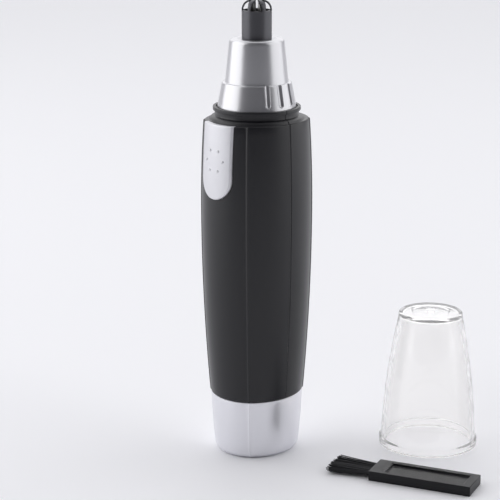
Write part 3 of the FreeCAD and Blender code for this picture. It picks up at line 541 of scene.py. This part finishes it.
def quarter_outline(side_steps=14, face_steps=12, seam_groove=0.01):
    """Unit outline from the +X seam to the +Y front, with a fine crest on the ridge."""
    side_centre, face_centre = SIDE - SIDE_BEND, FACE - FACE_BEND
    side_end = math.atan2(RIDGE_DEEP, RIDGE_ACROSS - side_centre)
    face_start = math.atan2(RIDGE_DEEP - face_centre, RIDGE_ACROSS)
    side_reach, face_reach = RIDGE_REACH / SIDE_BEND, RIDGE_REACH / FACE_BEND
    side_last = side_end - side_reach
    angles = [0, seam_groove] + [side_last * step / side_steps for step in range(1, side_steps + 1)]
    points = [(side_centre + SIDE_BEND * math.cos(a), SIDE_BEND * math.sin(a)) for a in angles]
    points.append((RIDGE_ACROSS * (1 + RIDGE_LIFT), RIDGE_DEEP * (1 + RIDGE_LIFT)))
    for step in range(face_steps + 1):
        first = face_start + face_reach
        a = first + (math.pi / 2 - first) * step / face_steps
        points.append((FACE_BEND * math.cos(a), face_centre + FACE_BEND * math.sin(a)))
    return points


QUARTER = quarter_outline()
HALF_OUTLINE = QUARTER + [(-x, y) for x, y in reversed(QUARTER[:-1])]
FULL_OUTLINE = HALF_OUTLINE + [(x, -y) for x, y in reversed(HALF_OUTLINE[1:-1])]


def front_surface(across, height, growth):
    """Y of the barrel's front face, grown by so many mm, at a place across it."""
    half = half_at(height) + growth
    return -((FACE - FACE_BEND) * half + math.sqrt((FACE_BEND * half) ** 2 - across ** 2))


def barrel_point(unit, spot, front=False):
    """A point of a barrel profile: spot is ("barrel", height, inset) or ("round", ...)."""
    kind, height, size = spot
    x, y = unit
    y = -y if front else y
    if kind == "barrel":
        half = half_at(height) - size
        return Vector((x * half, y * half, height)) * MM
    length = math.hypot(x, y)
    return Vector((x / length * size, y / length * size, height)) * MM


print("widest section, mm:", round(2 * SIDE * WIDEST, 1), "by", round(2 * FACE * WIDEST, 1))

# %% [markdown]
# ## The casing halves
#
# The casing is moulded in two halves that meet at the sides. Each half is one closed
# profile: up the outside, over the rim, across the ledge, up the neck and its bead, and
# back down the inside. The profile is carried round half of the section, and its first and
# last places are drawn in a little, so that the two halves leave a fine groove between
# them. The front half then loses the recess for the switch.

# %% Casing profile
CASING_WALL = 1.5
SEAM_GROOVE = 0.16
SKIN_STEPS = 40

SHOULDER_OUT, SHOULDER_HIGH = 12.9, 95.1
NECK_OUT, LIP_OUT, LIP_LOW = 11.4, 11.9, 96.4
SEAT_OUT, SEAT_FLOOR = 11.05, 96.85
NECK_BORE, SHELF_LOW, LUG_TRACK, INSIDE_TOP = 9.1, 95.0, 9.65, 92.4
INNER_NECK_POINTS = 5

# Each rim is softened in a few places: (distance from the rim, inset).
outside = [("barrel", CASING_LOW + rise, inset)
           for rise, inset in ((0, 0.30), (0.06, 0.13), (0.22, 0.03))]
SKIN_LOW, SKIN_HIGH = CASING_LOW + 0.5, CASING_HIGH - 0.45
for step in range(SKIN_STEPS + 1):
    outside.append(("barrel", SKIN_LOW + (SKIN_HIGH - SKIN_LOW) * step / SKIN_STEPS, 0))
outside += [("barrel", CASING_HIGH - drop, inset)
            for drop, inset in ((0.26, 0.04), (0.11, 0.13), (0.03, 0.26), (0, 0.42))]
neck = rounded([
    (SHOULDER_OUT + 0.15, CASING_HIGH, 0), (SHOULDER_OUT, CASING_HIGH, 0.1),
    (SHOULDER_OUT - 0.4, CASING_HIGH + 0.55, 0.5), (LIP_OUT, SHOULDER_HIGH - 0.15, 0.5),
    (NECK_OUT, SHOULDER_HIGH, 0.15), (NECK_OUT, LIP_LOW, 0.1), (LIP_OUT, LIP_LOW + 0.05, 0.12),
    (LIP_OUT, NECK_HIGH, 0.18), (SEAT_OUT, NECK_HIGH, 0.15), (SEAT_OUT, SEAT_FLOOR, 0.1),
    (NECK_BORE, SEAT_FLOOR, 0.1), (NECK_BORE, SHELF_LOW, 0), (LUG_TRACK, SHELF_LOW, 0),
    (LUG_TRACK, INSIDE_TOP, 0)], steps=3)
neck = [("round", height, radius) for radius, height in neck]
inside = [("barrel", INSIDE_TOP - (INSIDE_TOP - CASING_LOW) * step / 12, CASING_WALL)
          for step in range(13)]
CASING_PROFILE = outside + neck + inside
print("casing profile:", len(CASING_PROFILE), "points")


def casing_shell(name, front):
    """One half of the casing as a closed solid."""
    columns = []
    last = len(HALF_OUTLINE) - 1
    for index, unit in enumerate(HALF_OUTLINE):
        drawn_in = SEAM_GROOVE if index in (0, last) else 0
        column = []
        for place, spot in enumerate(CASING_PROFILE):
            outer = place < len(outside) + len(neck) - INNER_NECK_POINTS
            kind, height, size = spot
            change = drawn_in if kind == "barrel" else -drawn_in
            column.append(barrel_point(unit, (kind, height, size + change) if outer else spot,
                                       front))
        columns.append(column)
    return mesh_from_grid(name, columns, False, True, cap_ends=True)


# %% [markdown]
# The switch is a tongue with straight sides and a round foot. It is laid out as a grid
# whose rows follow its outline, and each point is dropped near the edge by the height of a
# quarter circle, which rounds the edge without any modifier. The same grid, a little larger
# and without the rounding, is the tool that cuts the recess.

# %% Switch tongue
TONGUE_HALF, TONGUE_LOW, TONGUE_HIGH = 5.6, 73.7, 94.0
TONGUE_PROUD, TONGUE_DEEP, RECESS_PLAY = 0.5, 0.75, 0.12


def tongue_rows(half, low, high, foot_steps=18, side_steps=26):
    """Heights from foot to top, each with the tongue's half-width there."""
    centre = low + half
    rows = []
    for step in range(foot_steps):
        angle = math.pi / 2 * (1 - step / foot_steps)
        rows.append((centre - half * math.sin(angle), half * math.cos(angle)))
    for step in range(side_steps + 1):
        share = math.sin(math.pi / 2 * step / side_steps)
        rows.append((centre + (high - centre) * share, half))
    return rows


def tongue_solid(name, half, low, high, growth, deep, rounding, columns=36):
    """The tongue between the barrel's surface grown by growth and cut back by deep."""
    centre = low + half
    front_rows, back_rows = [], []
    for height, width in tongue_rows(half, low, high):
        front_row, back_row = [], []
        for column in range(columns + 1):
            share = math.sin(math.pi * (column / columns - 0.5))
            across = width * share
            if height > centre:
                edge = min(half - abs(across), high - height)
            else:
                edge = half - math.hypot(across, height - centre)
            edge = max(0, min(edge, rounding))
            drop = rounding - math.sqrt(max(0, rounding ** 2 - (rounding - edge) ** 2))
            surface = front_surface(across, min(height, CASING_HIGH + 3), growth)
            front_row.append(Vector((across, surface + drop, height)) * MM)
            back_row.append(Vector((across, front_surface(across, height, -deep), height)) * MM)
        front_rows.append(front_row)
        back_rows.append(back_row)
    rows = [front + list(reversed(back)) for front, back in zip(front_rows, back_rows)]
    solid = mesh_from_grid(name, rows, False, True)
    shape = bmesh.new()
    shape.from_mesh(solid.data)
    open_edges = [edge for edge in shape.edges if edge.is_boundary]
    bmesh.ops.contextual_create(shape, geom=open_edges)
    bmesh.ops.recalc_face_normals(shape, faces=shape.faces)
    shape.to_mesh(solid.data)
    shape.free()
    return solid


front_shell = casing_shell("front_shell", True)
recess = tongue_solid("recess", TONGUE_HALF + RECESS_PLAY, TONGUE_LOW - RECESS_PLAY,
                      TONGUE_HIGH + 4, 2.5, TONGUE_DEEP + 0.1, 0)
carve(front_shell, recess)
smooth(front_shell, 28)
fit_out(front_shell, "casing", "satin_black", "front_casing")

rear_shell = smooth(casing_shell("rear_shell", False), 28)
fit_out(rear_shell, "casing", "satin_black", "rear_casing")

BUMP_HEIGHT, BUMP_RING, BUMP_RADIUS, BUMP_SUNK, BUMP_COUNT = 84.3, 3.1, 0.5, 0.26, 6
tongue = tongue_solid("switch_tongue", TONGUE_HALF, TONGUE_LOW, TONGUE_HIGH,
                      TONGUE_PROUD, TONGUE_DEEP, 0.35)
bumps = bmesh.new()
bumps.from_mesh(tongue.data)
for index in range(BUMP_COUNT):
    angle = 2 * math.pi * (index + 0.5) / BUMP_COUNT
    across, height = BUMP_RING * math.sin(angle), BUMP_HEIGHT + BUMP_RING * math.cos(angle)
    spot = Vector((across, front_surface(across, height, TONGUE_PROUD) + BUMP_SUNK, height)) * MM
    bmesh.ops.create_uvsphere(bumps, u_segments=24, v_segments=16, radius=BUMP_RADIUS * MM,
                              matrix=Matrix.Translation(spot))
bumps.to_mesh(tongue.data)
bumps.free()
smooth(tongue, 35)
fit_out(tongue, "switch", "silver_switch", "switch_button")

# %% [markdown]
# ## The silver head
#
# The head is a cone on a wider grip ring. It is turned in one path, and three round grooves
# are cut down each side of the ring for the fingers.

# %% Head cover
RING_HIGH = 104.0
RING_FOOT, RING_TOP, CONE_FOOT, CONE_TOP = 10.75, 9.4, 8.55, 7.35
GROOVE_RADIUS, GROOVE_OUT, GROOVE_PITCH, GROOVE_TURN = 1.0, 0.42, 22, -3
HEAD_THICK, FOOT_INSIDE, CONE_INSIDE_FOOT, CONE_INSIDE_TOP = 1.6, 9.35, 7.3, 5.85
FUNNEL_OUT, FUNNEL_IN, FUNNEL_DEEP, HEAD_HOLE = 5.25, 4.35, 0.9, 4.25

head_path = rounded([
    (FOOT_INSIDE, HEAD_FOOT, 0), (RING_FOOT, HEAD_FOOT, 0.35), (RING_TOP, RING_HIGH, 0.3),
    (CONE_FOOT, RING_HIGH, 0.15), (CONE_TOP, HEAD_HIGH, 1.3), (FUNNEL_OUT, HEAD_HIGH, 0.3),
    (FUNNEL_IN, HEAD_HIGH - FUNNEL_DEEP, 0.2), (HEAD_HOLE, HEAD_HIGH - HEAD_THICK, 0),
    (CONE_INSIDE_TOP, HEAD_HIGH - HEAD_THICK, 0), (CONE_INSIDE_FOOT, RING_HIGH, 0),
    (FOOT_INSIDE, HEAD_FOOT + HEAD_THICK, 0), (FOOT_INSIDE, HEAD_FOOT, 0)], steps=8)


def split_long(path, longest):
    """The same closed path with its long spans cut into short ones."""
    fine = []
    for (x, z), (next_x, next_z) in zip(path, path[1:] + path[:1]):
        count = max(1, math.ceil(math.hypot(next_x - x, next_z - z) / longest))
        fine += [(x + (next_x - x) * step / count, z + (next_z - z) * step / count)
                 for step in range(count)]
    return fine


head_shell = lathe("head_shell", split_long(head_path[:-1], 0.7), segments=240)


def groove_tool(name, angle):
    """A leaning capsule that cuts one round-bottomed grip groove."""
    low = HEAD_FOOT + 1.0 + GROOVE_RADIUS
    slope = (RING_FOOT - RING_TOP) / (RING_HIGH - HEAD_FOOT)
    start = Vector((RING_FOOT - slope * (low - HEAD_FOOT) + GROOVE_OUT, 0, low))
    end = Vector((RING_TOP - slope + GROOVE_OUT, 0, RING_HIGH + 1))
    along = (end - start).normalized()
    path = [(0, -GROOVE_RADIUS)]
    path += [(GROOVE_RADIUS * math.cos(a), GROOVE_RADIUS * math.sin(a))
             for a in (-math.pi / 2 + math.pi / 2 * step / 8 for step in range(1, 9))]
    path += [(GROOVE_RADIUS, (end - start).length), (0, (end - start).length)]
    tool = lathe(name, path, segments=32, closed=False)
    turn = Matrix.Rotation(math.radians(angle), 4, "Z")
    lean = Vector((0, 0, 1)).rotation_difference(along).to_matrix().to_4x4()
    tool.data.transform(turn @ Matrix.Translation(start * MM) @ lean)
    return tool


groove_angles = [side + GROOVE_TURN + step * GROOVE_PITCH for side in (0, 180) for step in (-1, 0, 1)]
carve(head_shell, *[groove_tool(f"groove_{index}", angle)
                    for index, angle in enumerate(groove_angles)])
smooth(head_shell, 28)
soften(head_shell, 0.09)
fit_out(head_shell, "head", "silver_head", "head_cover")

# %% [markdown]
# ## The battery cap
#
# The battery cap carries the barrel's section on down to the foot, so it is built from the
# same outline. Its foot is rounded, and it stands a hair inside the casing above it.

# %% Battery cap
CAP_GAP = 0.12
CAP_HIGH = CASING_LOW - CAP_GAP
CAP_FOOT_HALF, CAP_TOP_HALF, CAP_MIDDLE_HALF = 11.2, 12.4, 12.0


def cap_half(height):
    """The cap's half-width: a parabola through its foot, middle and top."""
    share = height / CAP_HIGH
    straight = CAP_FOOT_HALF + (CAP_TOP_HALF - CAP_FOOT_HALF) * share
    bow = CAP_MIDDLE_HALF - (CAP_FOOT_HALF + CAP_TOP_HALF) / 2
    return straight + 4 * bow * share * (1 - share)


def cap_row(height, inset, shrink=1.0):
    half = (cap_half(height) - inset) * shrink
    return [Vector((x * half, y * half, height)) * MM for x, y in FULL_OUTLINE]


FOOT_ROUND, CAP_WALL, CAP_FLOOR = 1.2, 0.95, 1.25
cap_rows = [cap_row(0, FOOT_ROUND, shrink) for shrink in (0, 0.3, 0.6, 0.85, 0.97)]
for step in range(9):
    angle = math.pi / 2 * step / 8
    cap_rows.append(cap_row(FOOT_ROUND * (1 - math.cos(angle)), FOOT_ROUND * (1 - math.sin(angle))))
cap_rows += [cap_row(FOOT_ROUND + (CAP_HIGH - 0.3 - FOOT_ROUND) * step / 12, 0)
             for step in range(1, 13)]
cap_rows += [cap_row(CAP_HIGH - 0.12, 0.03), cap_row(CAP_HIGH - 0.03, 0.12),
             cap_row(CAP_HIGH, 0.3), cap_row(CAP_HIGH, CAP_WALL)]
cap_rows += [cap_row(CAP_HIGH - (CAP_HIGH - CAP_FLOOR) * step / 6, CAP_WALL)
             for step in range(1, 7)]
cap_rows += [cap_row(CAP_FLOOR, CAP_WALL, shrink) for shrink in (0.5, 0)]
silver_cap = smooth(mesh_from_grid("silver_cap", cap_rows, False, True), 30)
fit_out(silver_cap, "battery_end", "silver_cap", "battery_cap")

# %% [markdown]
# ## The cutter tube
#
# A dark drawn tube ends in a dome that is cut into six narrow bars. Hairs enter between
# the bars and meet the blade that spins inside.

# %% Cutter tube
TUBE_OUT, TUBE_WALL, DOME_LOW, DOME_ROUND = 4.05, 0.45, 123.3, 2.7
SLOT_LOW, BAR_WIDTH, DOME_HOLE, SLOT_TURN = 123.2, 0.95, 1.4, 17
FLANGE_OUT, FLANGE_THICK, SLOT_COUNT, SLOT_REACH, SLOT_HIGH = 5.4, 0.6, 6, 6.0, 128

dome_centre = TUBE_OUT - DOME_ROUND
dome_end = math.acos((DOME_HOLE - dome_centre) / DOME_ROUND)


def dome_arc(radius, steps=14):
    """The dome's profile from the wall to its central opening."""
    return [(dome_centre + radius * math.cos(dome_end * step / steps),
             DOME_LOW + radius * math.sin(dome_end * step / steps)) for step in range(steps + 1)]


tube_path = [(TUBE_OUT - TUBE_WALL, TUBE_LOW), (FLANGE_OUT, TUBE_LOW),
             (FLANGE_OUT, TUBE_LOW + FLANGE_THICK), (TUBE_OUT, TUBE_LOW + FLANGE_THICK)]
tube_path += dome_arc(DOME_ROUND) + list(reversed(dome_arc(DOME_ROUND - TUBE_WALL)))
tube = lathe("cutter_shell", tube_path, segments=144)


def slot_tool(name, angle):
    """A wedge that stays half a bar away from the bars on both sides."""
    side = (SLOT_REACH - BAR_WIDTH) * math.tan(math.pi / SLOT_COUNT)
    outline = [(BAR_WIDTH, 0), (SLOT_REACH, -side), (SLOT_REACH, side)]
    turn = Matrix.Rotation(math.radians(angle), 3, "Z")
    rows = [[turn @ Vector((x, y, height)) * MM for x, y in outline]
            for height in (SLOT_LOW, SLOT_HIGH)]
    return mesh_from_grid(name, rows, False, True, cap_ends=True)


carve(tube, *[slot_tool(f"slot_{index}", SLOT_TURN + 360 / SLOT_COUNT * index)
              for index in range(SLOT_COUNT)])
smooth(tube, 28)
soften(tube, 0.07)
fit_out(tube, "head", "gunmetal", "cutter_tube")

# %% [markdown]
# ## The clear cap
#
# The clear cap is a thin tumbler that stands on its mouth. It is one closed solid with a
# real wall, because clear plastic gets its bright and dark lines from light that bends at
# both of its faces.

# %% Clear cap
clear_low, clear_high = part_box("clear_cap")
CLEAR_CENTRE = ((clear_low.x + clear_high.x) / 2 / MM, (clear_low.y + clear_high.y) / 2 / MM)
CLEAR_HIGH = clear_high.z / MM
CLEAR_RIM = (clear_high.x - clear_low.x) / 2 / MM
CLEAR_BAND, CLEAR_TOP, CLEAR_WALL = 13.3, 9.0, 1.15


def bowed(start, end, rise, steps=18):
    """Points between two corners on a line that bows outward by a rise."""
    points = []
    for step in range(1, steps):
        share = step / steps
        x = start[0] + (end[0] - start[0]) * share + 4 * rise * share * (1 - share)
        points.append((x, start[1] + (end[1] - start[1]) * share))
    return points


MOUTH_IN, BAND_LIP, BAND_HIGH, WALL_LOW, WALL_BOW = 12.15, 1.95, 2.25, 2.6, 0.75
DISH_OUT, DISH_IN, DISH_DEEP, PIP_FOOT, PIP_TOP, CEILING = 5.3, 5.0, 0.3, 1.2, 0.9, 1.35
ceiling_high = CLEAR_HIGH - CEILING

outer_foot, outer_head = (CLEAR_BAND, WALL_LOW), (CLEAR_TOP, CLEAR_HIGH - 1.6)
inner_foot = (CLEAR_BAND - CLEAR_WALL, WALL_LOW - 0.2)
inner_head = (CLEAR_TOP - CLEAR_WALL, CLEAR_HIGH - 2.7)
clear_foot = rounded([(MOUTH_IN, 0.6, 0), (MOUTH_IN, 0, 0.25), (CLEAR_RIM, 0, 0.3),
                      (CLEAR_RIM, BAND_LIP, 0.3), (CLEAR_BAND, BAND_HIGH, 0.15),
                      outer_foot + (0,)])
clear_crown = rounded([outer_head + (0,), (CLEAR_TOP - 0.05, CLEAR_HIGH, 1.5),
                       (DISH_OUT, CLEAR_HIGH, 0.15), (DISH_IN, CLEAR_HIGH - DISH_DEEP, 0.15),
                       (PIP_FOOT, CLEAR_HIGH - DISH_DEEP, 0.1), (PIP_TOP, CLEAR_HIGH, 0.1),
                       (0, CLEAR_HIGH, 0)])
clear_ceiling = rounded([(0, ceiling_high, 0), (inner_head[0], ceiling_high, 1.2),
                         inner_head + (0,)])
clear_path = clear_foot + bowed(outer_foot, outer_head, WALL_BOW) + clear_crown + clear_ceiling
clear_path += bowed(inner_head, inner_foot, WALL_BOW) + [inner_foot]
clear_shell = smooth(lathe("clear_shell", clear_path, segments=160, centre=CLEAR_CENTRE), 50)
fit_out(clear_shell, "protective_cap", "clear_plastic", "clear_cap")

# %% [markdown]
# ## The cleaning brush
#
# The handle is a small moulded block with a sunken panel. The bristles are separate
# strands: each starts in the handle's socket and fans out, with a small difference of
# length, height and bend, so that the tuft looks cut by a machine but used by a person.

# %% Brush handle
brush_low, brush_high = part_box("brush_handle")
BRUSH_CENTRE = Vector(((brush_low.x + brush_high.x) / 2, (brush_low.y + brush_high.y) / 2, 0)) / MM
BRUSH_TURN = math.radians(24.1)
BRUSH_LONG, BRUSH_WIDE, BRUSH_THICK = 28.5, 9.8, 2.7
PANEL_LEFT, PANEL_RIGHT, PANEL_SIDE, PANEL_DEEP = 4.3, 2.4, 1.7, 0.55
SOCKET_DEEP, SOCKET_HALF, SOCKET_LOW, SOCKET_HIGH = 2.1, 3.7, 0.45, 2.3
brush_place = Matrix.Translation(BRUSH_CENTRE * MM) @ Matrix.Rotation(BRUSH_TURN, 4, "Z")


def slab(name, left, right, front, back, low, high):
    """A plain block, for a tool or as a start for a bevelled piece."""
    rows = [[Vector(point) * MM for point in ((left, front, z), (right, front, z),
                                              (right, back, z), (left, back, z))]
            for z in (low, high)]
    return mesh_from_grid(name, rows, False, True, cap_ends=True)


handle = slab("brush_grip", -BRUSH_LONG / 2, BRUSH_LONG / 2, -BRUSH_WIDE / 2, BRUSH_WIDE / 2,
              0, BRUSH_THICK)
panel = slab("panel", -BRUSH_LONG / 2 + PANEL_LEFT, BRUSH_LONG / 2 - PANEL_RIGHT,
             -BRUSH_WIDE / 2 + PANEL_SIDE, BRUSH_WIDE / 2 - PANEL_SIDE,
             BRUSH_THICK - PANEL_DEEP, BRUSH_THICK + 1.3)
socket = slab("socket", -BRUSH_LONG / 2 - 1, -BRUSH_LONG / 2 + SOCKET_DEEP,
              -SOCKET_HALF, SOCKET_HALF, SOCKET_LOW, SOCKET_HIGH)
carve(handle, panel, socket)
handle.data.transform(brush_place)
smooth(handle, 30)
soften(handle, 0.2, segments=3)
fit_out(handle, "cleaning_brush", "brush_black", "brush_handle")

# %% Bristles
STRANDS, STRAND_RADIUS, STRAND_STEPS, STRAND_SIDES = 150, 0.13, 7, 5
TUFT_LONG, TUFT_ROOT, TUFT_TIP = 12.5, 6.4, 9.6
chance = np.random.default_rng(7)


def strand_rows(root, tip, bend):
    """Rings of points along one gently bent strand."""
    rows = []
    for step in range(STRAND_STEPS + 1):
        share = step / STRAND_STEPS
        middle = root.lerp(tip, share) + bend * (4 * share * (1 - share))
        radius = STRAND_RADIUS * (1 - 0.25 * share)
        rows.append([middle + Vector((0, math.cos(a), math.sin(a))) * radius
                     for a in (2 * math.pi * side / STRAND_SIDES for side in range(STRAND_SIDES))])
    return rows


tuft_shape = bmesh.new()
for index in range(STRANDS):
    side = chance.uniform(-1, 1)
    level = chance.uniform(0, 1)
    reach = TUFT_LONG - 0.9 * chance.random() - 0.8 * abs(side) * chance.random()
    root = Vector((-BRUSH_LONG / 2 + 1.9, side * TUFT_ROOT / 2, 0.75 + 1.2 * level))
    tip = Vector((-BRUSH_LONG / 2 - reach, side * TUFT_TIP / 2 + chance.normal(0, 0.25),
                  0.45 + 1.75 * level))
    bend = Vector((0, chance.normal(0, 0.12), chance.normal(0, 0.05)))
    rings = [[tuft_shape.verts.new(point * MM) for point in ring]
             for ring in strand_rows(root, tip, bend)]
    for lower, upper in zip(rings, rings[1:]):
        for j in range(STRAND_SIDES):
            k = (j + 1) % STRAND_SIDES
            tuft_shape.faces.new((lower[j], lower[k], upper[k], upper[j]))
    tuft_shape.faces.new(list(reversed(rings[0])))
    tuft_shape.faces.new(rings[-1])
bmesh.ops.recalc_face_normals(tuft_shape, faces=tuft_shape.faces)
tuft_mesh = bpy.data.meshes.new("bristle_tuft")
tuft_shape.to_mesh(tuft_mesh)
tuft_shape.free()
tuft = bpy.data.objects.new("bristle_tuft", tuft_mesh)
bpy.context.scene.collection.objects.link(tuft)
tuft.data.transform(brush_place)
smooth(tuft, 60)
fit_out(tuft, "cleaning_brush", "bristle_black", "brush_bristles")

# %% Finish
for node_name, node_object in frame["nodes"].items():
    if not node_object.hide_render:
        smooth(node_object, 32)
